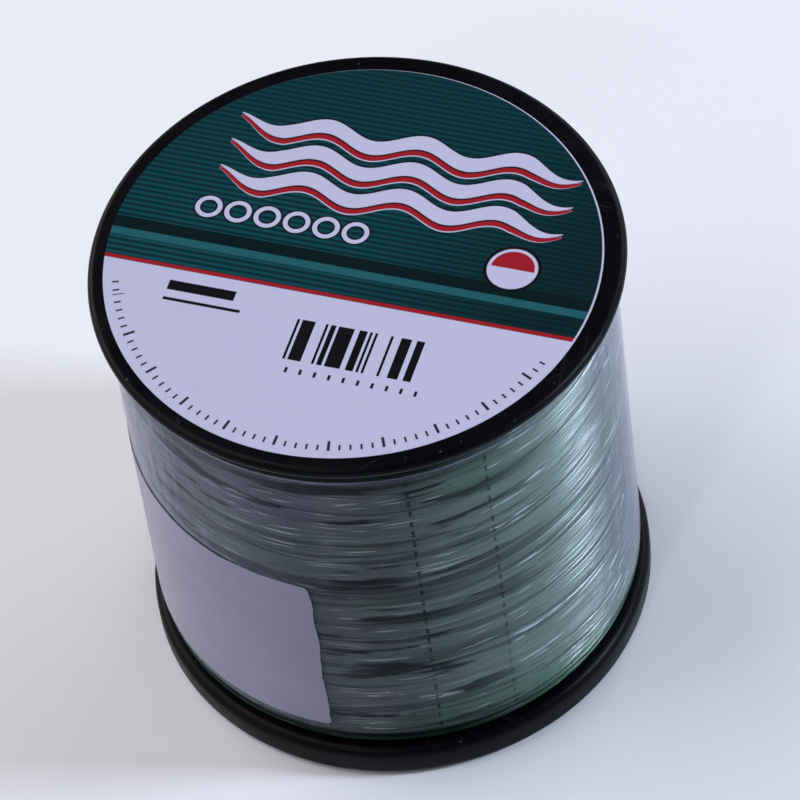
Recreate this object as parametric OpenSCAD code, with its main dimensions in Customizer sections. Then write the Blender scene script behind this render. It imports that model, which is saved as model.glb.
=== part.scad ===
// Bulk fishing line spool: two moulded flanges on a drum, a centre tube, a pack of
// monofilament, a clear band with a tear strip, a paper sticker and a round face label.
// +Z runs up the spool's axis, and the origin is the centre of the face it stands on.

/* [Upper flange] */
// Diameter of the upper flange
upper_flange_d = 80; // [79:0.5:90]
// Thickness of the upper flange, whose edge is fully rounded
upper_flange_t = 2.2; // [1.6:0.1:2.6]

/* [Lower flange] */
// Diameter of the lower flange
lower_flange_d = 78.2; // [77.4:0.2:90]
// Height of the lower flange's rim
lower_rim_h = 5.8; // [5:0.1:9]
// Thickness of the lower flange's rim wall
lower_rim_t = 3.4; // [2.8:0.1:5]
// Rounding of the rim's outer edges
lower_rim_r = 1.6; // [0.8:0.1:2.2]
// Thickness of the lower flange's web
lower_web_t = 2; // [1.4:0.1:3]
// How far the ribs and the boss stay above the table
under_gap = 0.8; // [0.4:0.1:1.6]
// Number of ribs under the web
rib_count = 8; // [4:1:12]
// Thickness of each rib
rib_t = 1.4; // [0.8:0.1:2.4]

/* [Drum] */
// Wall of the drum
drum_wall = 2; // [1.2:0.1:3]
// Length of the drum, which is the gap between the flanges
drum_len = 69.7; // [60:0.1:110]
// Height of the ring on each flange that the drum fits over
spigot_h = 5; // [3:0.5:8]
// Wall of that ring
spigot_t = 1.6; // [1:0.1:2.4]
// Radial clearance of the drum and the centre tube in the flanges
seat_gap = 0.1; // [0.05:0.05:0.3]

/* [Centre tube] */
// Diameter of the bore for the winder's spindle
arbor_d = 12.7; // [8:0.1:20]
// Wall of the centre tube
arbor_wall = 1.8; // [1:0.1:3]
// Height of the collar on each flange that holds the tube
collar_h = 4; // [2:0.5:8]
// Wall of that collar
collar_t = 2; // [1.2:0.1:3]
// Lead-in chamfer at the mouth of the bore
mouth_chamfer = 0.6; // [0.2:0.1:1]

/* [Line] */
// Diameter of the line
line_d = 0.457; // [0.3:0.001:0.9]
// Turns shown in the outer layer
line_turns = 24; // [8:1:24]
// Diameter over the outer layer
pack_d = 75.7; // [72:0.1:76]
// Depth of the line on the drum, from the drum's wall to the outer layer
line_depth = 7.55; // [5:0.05:12]
// Radius of the pack's two shoulders
shoulder_r = 2.4; // [1:0.1:2.6]
// Clearance round the pack, next to the drum, the tape and the upper flange
wind_gap = 0.05; // [0.05:0.01:0.2]
// Direction in which the outer layer starts and ends
line_end_angle = 205; // [0:1:359]

/* [Start tape] */
// Length of the tape round the drum
tape_len = 24; // [10:1:60]
// Width of the tape along the axis
tape_w = 12; // [6:1:30]
// Thickness of the tape
tape_t = 0.15; // [0.1:0.01:0.3]

/* [Clear band] */
// Thickness of the film
film_t = 0.1; // [0.06:0.01:0.3]
// Clearance between the film and the line
film_gap = 0.05; // [0.03:0.01:0.2]
// How far the film stops short of each flange
film_end = 3; // [2.6:0.1:6]
// Direction of the tear strip's first row of slits
tear_angle = 273.5; // [260:0.5:280]
// Width of the tear strip between its two rows
tear_w = 12.2; // [6:0.1:20]
// Length of a slit
slit_len = 1.1; // [0.6:0.1:2]
// Width of a slit
slit_w = 0.3; // [0.1:0.05:0.6]
// Distance from slit to slit
slit_pitch = 2.4; // [2.1:0.1:6]

/* [Sticker] */
// Length of the sticker round the film
sticker_len = 75; // [30:1:120]
// Height of the sticker
sticker_h = 35.6; // [15:0.1:45]
// Thickness of the sticker's paper
sticker_t = 0.1; // [0.06:0.01:0.3]
// Radius of the sticker's corners
sticker_r = 1; // [0.5:0.1:4]
// Height of the sticker's lower edge above the lower flange
sticker_lift = 5.4; // [3.2:0.1:10]
// Direction of the sticker's edge nearest the tear strip
sticker_angle = 248.7; // [230:0.1:255]

/* [Face label] */
// Diameter of the label
label_d = 74.2; // [50:0.1:75]
// Thickness of the label's paper
label_t = 0.1; // [0.06:0.01:0.3]
// How far the label sits off centre along X
label_off_x = -0.5; // [-0.6:0.1:0.6]
// How far the label sits off centre along Y
label_off_y = -0.3; // [-0.6:0.1:0.6]

/* [Hidden] */
$fn = 96;

BLACK = "#17171b";
TUBE_BLACK = "#222228";
LINE_GREEN = "#7d9388";
FILM_CLEAR = "#c9d6dc";
PAPER = "#c8c6d8";
TEAL = "#155a60";
TAPE = "#b9a77f";

drum_z = lower_rim_h;
upper_z = drum_z + drum_len;
top_z = upper_z + upper_flange_t;
web_z = lower_rim_h - lower_web_t;
drum_r = pack_d / 2 - line_depth;
drum_bore_r = drum_r - drum_wall;
spigot_r = drum_bore_r - seat_gap;
arbor_r = arbor_d / 2;
tube_r = arbor_r + arbor_wall;
collar_bore_r = tube_r + seat_gap;
collar_r = collar_bore_r + collar_t;
lower_r = lower_flange_d / 2;
rim_inner_r = lower_r - lower_rim_t;

// Outer layer: one open tube whose corners lie on a circle, so its straight chords
// come nearer the axis than its corners do.
RINGS_PER_TURN = 24;
TUBE_SIDES = 6;
step_a = 360 / RINGS_PER_TURN;
lay_r = pack_d / 2 - line_d / 2;
core_r = lay_r * cos(step_a / 2) - line_d / 2 - wind_gap;
core_top_z = upper_z - wind_gap;
lay_low_z = drum_z + shoulder_r + line_d;
lay_high_z = core_top_z - shoulder_r - line_d;
lay_pitch = (lay_high_z - lay_low_z) / line_turns;

pack_bore_r = drum_r + wind_gap;
tape_z = drum_z + (drum_len - tape_w) / 2;
tape_a = arc_deg(tape_len, drum_r);

film_r = pack_d / 2 + film_gap;
film_outer_r = film_r + film_t;
film_low_z = drum_z + film_end;
film_h = drum_len - 2 * film_end;
slit_count = floor((film_h - slit_len) / slit_pitch);
slit_low_z = film_low_z + (film_h - (slit_count - 1) * slit_pitch) / 2;

sticker_z = drum_z + sticker_lift;
sticker_span = arc_deg(sticker_len, film_outer_r);

// Angle that a length takes up on a circle
function arc_deg(length, radius) = length / radius * 180 / PI;

// A ring about the axis
module ring(r_in, r_out, z, h) {
  translate([0, 0, z])
    rotate_extrude()
      translate([r_in, 0])
        square([r_out - r_in, h]);
}

// A thin patch on a cylinder, from start_a anticlockwise
module wrapped_patch(r_in, thickness, z, h, start_a, span_a) {
  translate([0, 0, z])
    rotate([0, 0, start_a])
      rotate_extrude(angle = span_a)
        translate([r_in, 0])
          square([thickness, h]);
}

// What rounding takes off the corner of a patch: side is 1 at its end and -1 at its start,
// and up is 1 at its top and -1 at its foot. The rounding meets the edges at a slight angle.
module corner_off(r_in, thickness, z, a, radius, side, up) {
  inset = radius * 0.94;
  rotate([0, 0, a])
    translate([r_in - 1, -side * inset, z - up * inset])
      rotate([0, 90, 0])
        difference() {
          translate([up > 0 ? -radius - 1 : 0, side > 0 ? 0 : -radius - 1, 0])
            cube([radius + 1, radius + 1, thickness + 2]);
          translate([0, 0, -1])
            cylinder(r = radius, h = thickness + 4);
        }
}

module lower_profile() {
  translate([rim_inner_r, 0])
    square([lower_rim_t - lower_rim_r, lower_rim_h]);
  translate([rim_inner_r, lower_rim_r])
    square([lower_rim_t, lower_rim_h - 2 * lower_rim_r]);
  for (z = [lower_rim_r, lower_rim_h - lower_rim_r])
    translate([lower_r - lower_rim_r, z])
      circle(r = lower_rim_r);
  translate([arbor_r, web_z])
    square([rim_inner_r - arbor_r, lower_web_t]);
  translate([arbor_r, under_gap])
    square([collar_r - arbor_r, lower_rim_h - under_gap]);
  translate([collar_bore_r, lower_rim_h])
    square([collar_t, collar_h]);
  translate([spigot_r - spigot_t, lower_rim_h])
    square([spigot_t, spigot_h]);
}

module lower_flange() {
  color(BLACK)
    difference() {
      union() {
        rotate_extrude() lower_profile();
        for (i = [0 : rib_count - 1])
          rotate([0, 0, i * 360 / rib_count])
            translate([collar_r - collar_t / 2, -rib_t / 2, under_gap])
              cube([rim_inner_r + lower_rim_r / 2 - collar_r + collar_t / 2,
                    rib_t, web_z - under_gap + lower_web_t / 2]);
      }
      translate([0, 0, under_gap])
        cylinder(r1 = arbor_r + mouth_chamfer, r2 = arbor_r, h = mouth_chamfer);
    }
}

module upper_profile() {
  translate([arbor_r, upper_z])
    square([upper_flange_d / 2 - upper_flange_t / 2 - arbor_r, upper_flange_t]);
  translate([upper_flange_d / 2 - upper_flange_t / 2, upper_z + upper_flange_t / 2])
    circle(d = upper_flange_t);
  translate([collar_bore_r, upper_z - collar_h])
    square([collar_t, collar_h]);
  translate([spigot_r - spigot_t, upper_z - spigot_h])
    square([spigot_t, spigot_h]);
}

module upper_flange() {
  color(BLACK)
    rotate_extrude() upper_profile();
}

module hub_barrel() {
  color(TUBE_BLACK)
    ring(drum_bore_r, drum_r, drum_z, drum_len);
}

module arbor_tube() {
  color(TUBE_BLACK)
    ring(arbor_r, tube_r, drum_z, drum_len);
}

module line_start_tape() {
  color(TAPE)
    wrapped_patch(drum_r, tape_t, tape_z, tape_w, line_end_angle, tape_a);
}

// The inner layers, with rounded shoulders and a pocket for the tape
module line_pack_core() {
  color(LINE_GREEN)
    difference() {
      rotate_extrude()
        intersection() {
          union() {
            translate([pack_bore_r, drum_z])
              square([core_r - shoulder_r - pack_bore_r, core_top_z - drum_z]);
            translate([pack_bore_r, drum_z + shoulder_r])
              square([core_r - pack_bore_r, core_top_z - drum_z - 2 * shoulder_r]);
            for (z = [drum_z + shoulder_r, core_top_z - shoulder_r])
              translate([core_r - shoulder_r, z])
                circle(r = shoulder_r);
          }
          translate([pack_bore_r, drum_z])
            square([core_r - pack_bore_r, core_top_z - drum_z]);
        }
      wrapped_patch(drum_r, tape_t + wind_gap, tape_z - wind_gap, tape_w + 2 * wind_gap,
                    line_end_angle - arc_deg(wind_gap, drum_r),
                    tape_a + 2 * arc_deg(wind_gap, drum_r));
    }
}

// Centre line of the outer layer: in from the core, round and up, and back to the core
function round_point(radius, a, z) = [radius * cos(a), radius * sin(a), z];
lay_steps = line_turns * RINGS_PER_TURN;
lay_turns = [for (i = [0 : lay_steps])
  round_point(lay_r, line_end_angle + i * step_a, lay_low_z + i * lay_pitch / RINGS_PER_TURN)];
lay_path = concat([round_point(core_r, line_end_angle, lay_low_z)],
                  lay_turns,
                  [round_point(core_r, line_end_angle + lay_steps * step_a, lay_high_z)]);

// Least gap between one turn and the next, measured on the path's points
lay_gap = min([for (i = [0 : lay_steps - RINGS_PER_TURN])
  for (j = [i + RINGS_PER_TURN - 2 : min(i + RINGS_PER_TURN + 2, lay_steps)])
    norm(lay_turns[j] - lay_turns[i])]) - line_d;
echo(least_gap_between_turns_mm = lay_gap);

function unit(v) = v / norm(v);
function heading(path, i) =
  i == 0 ? unit(path[1] - path[0]) :
  i == len(path) - 1 ? unit(path[i] - path[i - 1]) :
  unit(unit(path[i] - path[i - 1]) + unit(path[i + 1] - path[i]));
function bend(path, i) =
  i == 0 || i == len(path) - 1 ? 1 : heading(path, i) * unit(path[i + 1] - path[i]);

// One ring of the tube at point i, widened at a bend so that the tube keeps its size
function tube_ring(path, i, radius) =
  let (side = unit(cross(heading(path, i), [0, 0, 1])) / bend(path, i))
  [for (k = [0 : TUBE_SIDES - 1])
    let (a = k * 360 / TUBE_SIDES)
    path[i] + radius * (cos(a) * side + sin(a) * [0, 0, 1])];

module swept_tube(path, radius) {
  last = len(path) - 1;
  points = [for (i = [0 : last]) each tube_ring(path, i, radius)];
  start_cap = [for (k = [1 : TUBE_SIDES - 2]) [0, k, k + 1]];
  end_cap = [for (k = [1 : TUBE_SIDES - 2])
    [last * TUBE_SIDES, last * TUBE_SIDES + k + 1, last * TUBE_SIDES + k]];
  walls = [for (i = [0 : last - 1])
    for (k = [0 : TUBE_SIDES - 1])
      let (n = (k + 1) % TUBE_SIDES, low = i * TUBE_SIDES, high = low + TUBE_SIDES)
      each [[low + k, high + k, high + n], [low + k, high + n, low + n]]];
  polyhedron(points = points, faces = concat(start_cap, walls, end_cap), convexity = 10);
}

module line_outer_layer() {
  color(LINE_GREEN)
    swept_tube(lay_path, line_d / 2);
}

module slit_row(a) {
  rotate([0, 0, a])
    for (i = [0 : slit_count - 1])
      translate([film_r - film_gap / 2, -slit_w / 2,
                 slit_low_z + i * slit_pitch - slit_len / 2])
        cube([film_t + film_gap, slit_w, slit_len]);
}

module shrink_band() {
  color(FILM_CLEAR, 0.4)
    difference() {
      ring(film_r, film_outer_r, film_low_z, film_h);
      slit_row(tear_angle);
      slit_row(tear_angle + arc_deg(tear_w, film_outer_r));
    }
}

module side_sticker() {
  first_a = sticker_angle - sticker_span;
  color(PAPER)
    difference() {
      wrapped_patch(film_outer_r, sticker_t, sticker_z, sticker_h, first_a, sticker_span);
      for (up = [-1, 1]) {
        corner_off(film_outer_r, sticker_t, sticker_z + (up > 0 ? sticker_h : 0),
                   sticker_angle, sticker_r, 1, up);
        corner_off(film_outer_r, sticker_t, sticker_z + (up > 0 ? sticker_h : 0),
                   first_a, sticker_r, -1, up);
      }
    }
}

module face_label() {
  color(TEAL)
    translate([label_off_x, label_off_y, top_z])
      cylinder(d = label_d, h = label_t);
}

lower_flange();
upper_flange();
hub_barrel();
arbor_tube();
line_start_tape();
line_pack_core();
line_outer_layer();
shrink_band();
side_sticker();
face_label();
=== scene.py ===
"""Bulk spool of fishing line, dressed for rendering around its CAD frame. Lengths are in metres."""

import math
import random

import bmesh
import bpy
from bpy.props import FloatProperty, FloatVectorProperty, IntProperty, PointerProperty
from bpy.types import Operator, Panel, PropertyGroup
from mathutils import Matrix, Vector, noise


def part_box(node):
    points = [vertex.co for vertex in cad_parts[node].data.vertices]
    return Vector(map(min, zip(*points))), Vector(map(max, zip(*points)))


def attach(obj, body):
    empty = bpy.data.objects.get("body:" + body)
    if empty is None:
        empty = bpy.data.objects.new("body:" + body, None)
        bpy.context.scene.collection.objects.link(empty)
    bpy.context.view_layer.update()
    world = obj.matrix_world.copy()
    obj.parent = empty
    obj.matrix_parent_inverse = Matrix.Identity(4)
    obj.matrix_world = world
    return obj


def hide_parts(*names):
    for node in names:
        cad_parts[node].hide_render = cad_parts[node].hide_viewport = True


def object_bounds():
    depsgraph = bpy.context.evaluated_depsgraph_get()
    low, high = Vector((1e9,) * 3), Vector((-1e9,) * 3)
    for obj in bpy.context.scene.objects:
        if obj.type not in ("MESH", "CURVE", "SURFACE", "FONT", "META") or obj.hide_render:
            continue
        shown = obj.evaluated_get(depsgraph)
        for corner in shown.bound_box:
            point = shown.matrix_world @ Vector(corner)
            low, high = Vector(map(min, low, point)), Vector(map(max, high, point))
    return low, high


bl_info = {
    "name": "Fishing Line Spool",
    "version": (1, 0, 0),
    "blender": (4, 5, 0),
    "location": "View3D > Sidebar > Spool",
    "description": "Models a bulk spool of monofilament with its band, sticker and label",
    "category": "Object",
}

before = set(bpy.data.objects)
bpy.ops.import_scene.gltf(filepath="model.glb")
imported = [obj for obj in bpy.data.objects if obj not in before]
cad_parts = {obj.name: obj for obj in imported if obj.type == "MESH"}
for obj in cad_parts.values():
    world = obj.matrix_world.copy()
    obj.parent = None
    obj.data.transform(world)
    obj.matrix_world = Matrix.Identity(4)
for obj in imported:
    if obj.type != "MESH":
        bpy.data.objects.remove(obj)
CAD_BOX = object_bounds()
MM = 0.001
ROUND = 192  # steps of a full turn on the flanges


def low(node):
    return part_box(node)[0]


def high(node):
    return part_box(node)[1]


# --- Sizes and colours ---


def length(name, description, default):
    return FloatProperty(
        name=name, description=description, default=default, unit="LENGTH", precision=5
    )


def turn(name, description, degrees):
    start = math.radians(degrees)
    return FloatProperty(name=name, description=description, default=start, subtype="ANGLE")


def colour(name, description, default):
    return FloatVectorProperty(
        name=name, description=description, default=default, subtype="COLOR", size=3, min=0, max=1
    )


class SpoolFlangeSizes(PropertyGroup):
    upper_radius: length("Upper radius", "Radius of the upper flange", high("upper_flange").x)
    upper_thickness: length(
        "Upper thickness",
        "Thickness of the upper flange",
        high("upper_flange").z - high("arbor_tube").z,
    )
    lower_radius: length("Lower radius", "Radius of the lower flange", high("lower_flange").x)
    rim_height: length("Rim height", "Height of the lower rim", low("arbor_tube").z)
    rim_wall: length("Rim wall", "Thickness of the lower rim", 3.4 * MM)
    rim_rounding: length("Rim rounding", "Rounding of the lower rim's edges", 1.6 * MM)
    web: length("Web", "Thickness of the lower web", 2.0 * MM)
    under_gap: length("Under gap", "Gap between the ribs and the table", 0.8 * MM)
    rib_wall: length("Rib wall", "Thickness of a rib", 1.4 * MM)
    rib_count: IntProperty(name="Ribs", description="Ribs under the lower web", default=8, min=3)
    bore: length("Bore", "Radius of the spindle bore", 6.35 * MM)
    collar: length("Collar", "Inner radius of the collars round the centre tube", 8.25 * MM)
    collar_wall: length("Collar wall", "Wall of the collars", 2.0 * MM)
    collar_height: length("Collar height", "Height of the collars", 4.0 * MM)
    spigot: length("Spigot", "Outer radius of the rings inside the drum", 28.2 * MM)
    spigot_wall: length("Spigot wall", "Wall of those rings", 1.6 * MM)
    spigot_height: length("Spigot height", "Height of those rings", 5.0 * MM)


class SpoolLineSizes(PropertyGroup):
    diameter: length("Line diameter", "Diameter of the line", 0.457 * MM)
    outer_radius: length("Outer radius", "Radius over the outermost turns", 37.85 * MM)
    bore_radius: length("Bore radius", "Radius of the pack's bore", 30.35 * MM)
    shoulder: length("Shoulder", "Rounding of the pack's shoulders", 2.4 * MM)
    pitch: length("Pitch", "Distance from turn to turn in the bed", 0.47 * MM)
    crossing_turns: IntProperty(
        name="Crossing turns", description="Turns that cross the bed", default=112, min=1
    )
    bed_sway: length("Bed sway", "How far the bed's turns sway", 0.34 * MM)
    crossing_sway: length("Crossing sway", "How far the crossing turns sway", 1.7 * MM)


class SpoolWrapSizes(PropertyGroup):
    film_radius: length("Film radius", "Inner radius of the clear band", 37.9 * MM)
    film: length("Film", "Thickness of the clear band", 0.1 * MM)
    slit_length: length("Slit length", "Length of a slit in the tear strip", 1.1 * MM)
    slit_width: length("Slit width", "Width of a slit in the tear strip", 0.3 * MM)
    slit_pitch: length("Slit pitch", "Distance from slit to slit", 2.4 * MM)
    tear_start: turn("Tear start", "Direction of the first row of slits", 273.5)
    tear_width: length("Tear width", "Distance between the rows of slits", 12.2 * MM)
    sticker_length: length("Sticker length", "Length of the sticker round the band", 75 * MM)
    sticker_end: turn("Sticker end", "Direction of the sticker's end by the strip", 248.7)
    sticker_corner: length("Sticker corner", "Radius of the sticker's corners", 1.0 * MM)
    paper: length("Paper", "Thickness of the sticker and the label", 0.1 * MM)
    label_radius: length("Label radius", "Radius of the face label", 37.1 * MM)


class SpoolColours(PropertyGroup):
    plastic: colour("Plastic", "Flanges and drum", (0.0022, 0.0022, 0.0032))
    plastic_worn: colour("Worn plastic", "Flanges where they are rubbed", (0.030, 0.027, 0.036))
    line_light: colour("Line, light", "Line where light passes through it", (0.122, 0.160, 0.190))
    line_mid: colour("Line", "Line", (0.026, 0.038, 0.047))
    # painted shade between the turns
    line_dark: colour("Line, deep", "Line between the turns", (0.0030, 0.0150, 0.0085))
    # painted light: pale tint for the lit right side
    line_lit_side: colour("Line, pale", "Line on the spool's right side", (0.272, 0.392, 0.305))
    # painted light: slate tint for the shaded left side and round the right edge
    line_slate: colour("Line, slate", "Line on the spool's left side", (0.086, 0.089, 0.133))
    # green patches, partly at random and partly painted light on the right, with painted shade
    # along the foot
    line_green: colour("Line, green", "Line in the greener patches", (0.066, 0.178, 0.092))
    film: colour("Film", "Clear band", (0.72, 0.69, 0.98))
    paper: colour("Paper", "Sticker and label paper", (0.54, 0.53, 0.70))
    sticker: colour("Sticker", "Sticker paper", (0.256, 0.242, 0.348))
    teal: colour("Teal", "Label's printed field", (0.0008, 0.024, 0.029))
    teal_light: colour("Light teal", "Label's printed stripes", (0.0060, 0.072, 0.086))
    teal_dark: colour("Dark teal", "Label's printed bands", (0.0012, 0.0100, 0.0115))
    red: colour("Red", "Label's printed accents", (0.33, 0.012, 0.020))
    tape: colour("Tape", "Start tape", (0.46, 0.34, 0.17))


class SpoolStudio(PropertyGroup):
    elevation: turn("Elevation", "How far the camera looks down", 51.31)
    roll: turn("Roll", "How far the camera is turned about its view", -8.48)
    aside: length("Aside", "Place of the spool's foot across the view", 0.664 * MM)
    below: length("Below", "Place of the spool's foot down the view", 26.98 * MM)
    distance: length("Distance", "Distance of the spool's foot along the view", 901.28 * MM)
    lens: FloatProperty(
        name="Lens",
        description="Focal length in millimetres",
        default=256.8,
        subtype="DISTANCE_CAMERA",
    )


# --- Mesh tools ---


def lathe(bm, corners, steps):
    """Turns a closed outline of (radius, height) corners about the spool's axis."""
    ring = [bm.verts.new((r, 0, z)) for r, z in corners]
    sides = [bm.edges.new((a, b)) for a, b in zip(ring, ring[1:] + ring[:1])]
    bmesh.ops.spin(
        bm,
        geom=ring + sides,
        cent=(0, 0, 0),
        axis=(0, 0, 1),
        angle=math.tau,
        steps=steps,
        use_merge=True,
    )
    bmesh.ops.remove_doubles(bm, verts=bm.verts[:], dist=1e-7)
    bmesh.ops.recalc_face_normals(bm, faces=bm.faces[:])


def bevel(bm, geom, width, segments, affect="EDGES", clamp=False):
    return bmesh.ops.bevel(
        bm,
        geom=geom,
        offset=width,
        offset_type="OFFSET",
        affect=affect,
        segments=segments,
        profile=0.5,
        material=-1,
        clamp_overlap=clamp,
    )


def round_loops(bm, places, width, segments):
    """Bevels the circular edges at the given (radius, height) places."""
    near = 2e-5

    def at(vert):
        r, z = math.hypot(vert.co.x, vert.co.y), vert.co.z
        return next((p for p in places if abs(r - p[0]) < near and abs(z - p[1]) < near), None)

    loops = [e for e in bm.edges if at(e.verts[0]) and at(e.verts[0]) == at(e.verts[1])]
    if not loops:
        raise RuntimeError("no circular edge at the places given")
    bevel(bm, loops, width, segments, clamp=True)


def flat_patch(bm, width, height, corner, across, up):
    """A flat rectangle, rounded at its corners and cut along the given lines."""
    bmesh.ops.create_grid(bm, x_segments=1, y_segments=1, size=0.5)
    bmesh.ops.scale(bm, vec=(width, height, 1), verts=bm.verts[:])
    bmesh.ops.translate(bm, vec=(width / 2, height / 2, 0), verts=bm.verts[:])
    if corner:
        bevel(bm, bm.verts[:], corner, 5, "VERTICES")
    for place, direction in [(x, (1, 0, 0)) for x in across] + [(y, (0, 1, 0)) for y in up]:
        everything = bm.verts[:] + bm.edges[:] + bm.faces[:]
        spot = Vector(direction) * place
        bmesh.ops.bisect_plane(bm, geom=everything, plane_co=spot, plane_no=direction, dist=1e-7)


def wrap_round(bm, radius, start, foot, shape=None):
    """Wraps a flat patch round the axis: X becomes the way round, and Y the height."""
    for vert in bm.verts:
        x, y = vert.co.x, vert.co.y
        out = 0.0
        if shape:
            x, y, out = shape(x, y)
        a = start + x / radius
        vert.co = ((radius + out) * math.cos(a), (radius + out) * math.sin(a), foot + y)


def thicken(bm, thickness):
    """Gives an open skin a wall outwards of its faces."""
    bmesh.ops.recalc_face_normals(bm, faces=bm.faces[:])
    centre = bm.faces[:][0].calc_center_median()
    if bm.faces[:][0].normal.dot(Vector((centre.x, centre.y, 0))) < 0:
        bmesh.ops.reverse_faces(bm, faces=bm.faces[:])
    bmesh.ops.solidify(bm, geom=bm.faces[:], thickness=-thickness)


def steps_between(start, end, step):
    count = max(1, round((end - start) / step))
    return [start + (end - start) * i / count for i in range(1, count)]


def piece_from(bm, name, nodes, materials, smooth=40):
    """Makes a finished piece of a bmesh and gives it its place in the frame."""
    mesh = bpy.data.meshes.new(name)
    bm.to_mesh(mesh)
    bm.free()
    return dress(mesh, name, nodes, materials, smooth)


def linked(name, data):
    made = bpy.data.objects.new(name, data)
    bpy.context.scene.collection.objects.link(made)
    return made


def dress(mesh, name, nodes, materials, smooth=40):
    piece = linked(name, mesh)
    for material in materials:
        mesh.materials.append(material)
    mesh.shade_smooth()
    if smooth:
        mesh.set_sharp_from_angle(angle=math.radians(smooth))
    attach(piece, "root")
    if nodes:
        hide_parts(*nodes)
    return piece


def smooth_noise(x, y, z):
    return noise.noise(Vector((x, y, z)))


# --- Material tools ---


class Graph:
    """Short calls for the nodes of one material or group."""

    def __init__(self, tree):
        self.tree = tree

    def node(self, kind, **settings):
        node = self.tree.nodes.new(kind)
        for key, value in settings.items():
            setattr(node, key, value)
        return node

    def put(self, socket, value):
        if isinstance(value, bpy.types.NodeSocket):
            self.tree.links.new(value, socket)
        elif hasattr(value, "__len__") and len(value) == 3 and socket.type == "RGBA":
            socket.default_value = (*value, 1)
        else:
            socket.default_value = value

    def fill(self, node, values):
        """Sets a node's inputs, by their order or by their names."""
        pairs = values.items() if isinstance(values, dict) else enumerate(values)
        for key, value in pairs:
            self.put(node.inputs[key], value)
        return node.outputs

    def math(self, operation, *values, clamp=False):
        node = self.node("ShaderNodeMath", operation=operation, use_clamp=clamp)
        return self.fill(node, values)[0]

    def times(self, *values, clamp=False):
        return self.math("MULTIPLY", *values, clamp=clamp)

    def plus(self, *values, clamp=False):
        return self.math("ADD", *values, clamp=clamp)

    def minus(self, first, second):
        return self.math("SUBTRACT", first, second)

    def away(self, value, middle):
        """How far a value is from a middle one, either way."""
        return self.math("ABSOLUTE", self.minus(value, middle))

    def mix(self, factor, first, second, blend="MIX"):
        node = self.node("ShaderNodeMix", data_type="RGBA", blend_type=blend)
        return self.fill(node, {"Factor": factor, 6: first, 7: second})[2]

    def span(self, value, from_low, from_high, to_low=0.0, to_high=1.0):
        node = self.node("ShaderNodeMapRange", clamp=True)
        return self.fill(node, (value, from_low, from_high, to_low, to_high))[0]

    def stretch(self, vector, scale=(1, 1, 1), place=(0, 0, 0), turned=(0, 0, 0)):
        node = self.node("ShaderNodeMapping", vector_type="POINT")
        settings = {"Vector": vector, "Location": place, "Rotation": turned, "Scale": scale}
        return self.fill(node, settings)[0]

    def noise(self, vector, scale, detail=2.0, rough=0.5):
        settings = {"Vector": vector, "Scale": scale, "Detail": detail, "Roughness": rough}
        return self.fill(self.node("ShaderNodeTexNoise"), settings)["Fac"]

    def streaks(self, vector, scale, detail=2, rough=0.5, place=(0, 0, 0)):
        """Noise that is drawn out by a scale of its own along each axis."""
        return self.noise(self.stretch(vector, scale=scale, place=place), 1, detail, rough)

    def place(self):
        return self.node("ShaderNodeTexCoord").outputs["Object"]

    def axes(self, vector):
        return self.fill(self.node("ShaderNodeSeparateXYZ"), (vector,))

    def vector(self, x, y, z):
        return self.fill(self.node("ShaderNodeCombineXYZ"), (x, y, z))[0]

    def vectors(self, operation, *values):
        return self.fill(self.node("ShaderNodeVectorMath", operation=operation), values)[0]

    def scaled(self, vector, factor):
        node = self.node("ShaderNodeVectorMath", operation="SCALE")
        return self.fill(node, {0: vector, "Scale": factor})[0]

    def bump(self, height, strength, distance, normal=None):
        settings = {"Height": height, "Strength": strength, "Distance": distance}
        if normal:
            settings["Normal"] = normal
        return self.fill(self.node("ShaderNodeBump"), settings)[0]


def darker(colour, share):
    return tuple(part * share for part in colour)


def effect(name, inputs, outputs):
    """Makes a shared effect of a function that builds its nodes: a node group, built once."""

    def shared(build):
        def put_in(g, **values):
            tree = bpy.data.node_groups.get(name) or new_group(name, inputs, outputs, build)
            return g.fill(g.node("ShaderNodeGroup", node_tree=tree), values)

        return put_in

    return shared


def new_group(name, inputs, outputs, build):
    tree = bpy.data.node_groups.new(name, "ShaderNodeTree")
    for way, keys in (("INPUT", inputs), ("OUTPUT", outputs)):
        for key in keys:
            kind = "NodeSocketVector" if key in ("Place", "Normal") else "NodeSocketFloat"
            socket = tree.interface.new_socket(key, in_out=way, socket_type=kind)
            if way == "INPUT" and kind == "NodeSocketFloat":
                socket.default_value = inputs[key]
    g = Graph(tree)
    results = build(g, g.node("NodeGroupInput").outputs)
    g.fill(g.node("NodeGroupOutput"), dict(zip(outputs, results)))
    return tree


@effect("Hairline scratches", {"Place": None, "Scale": 1.0, "Amount": 1.0}, ["Mask"])
def scratches(g, given):
    """Hairline scratches in three directions, as a mask."""
    total = 0.0
    for i, (angle, long) in enumerate(((0.5, 22), (1.9, 30), (2.8, 16))):
        turned = g.stretch(given["Place"], turned=(0, 0, angle), place=(i, i * 2, 0))
        line = g.noise(g.stretch(turned, scale=(long, 900, 40)), given["Scale"], 1, 0.4)
        patch = g.noise(g.stretch(given["Place"], place=(i * 3, 0, 0)), 70, 1)
        thin = g.span(g.away(line, 0.5), 0.0, 0.010, 1, 0)
        total = g.math("MAXIMUM", total, g.times(thin, g.span(patch, 0.55, 0.68)))
    return [g.times(total, given["Amount"], clamp=True)]


@effect("Dust specks", {"Place": None, "Scale": 900.0, "Size": 0.16}, ["Mask"])
def dust(g, given):
    """Small scattered specks, as a mask."""
    cells = g.node("ShaderNodeTexVoronoi", feature="F1")
    near = g.fill(cells, {"Vector": given["Place"], "Scale": given["Scale"]})
    size = g.span(g.axes(near["Color"])["X"], 0.55, 1.0, 0.0, given["Size"])
    return [g.span(g.minus(size, near["Distance"]), 0.0, 0.03)]


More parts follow.
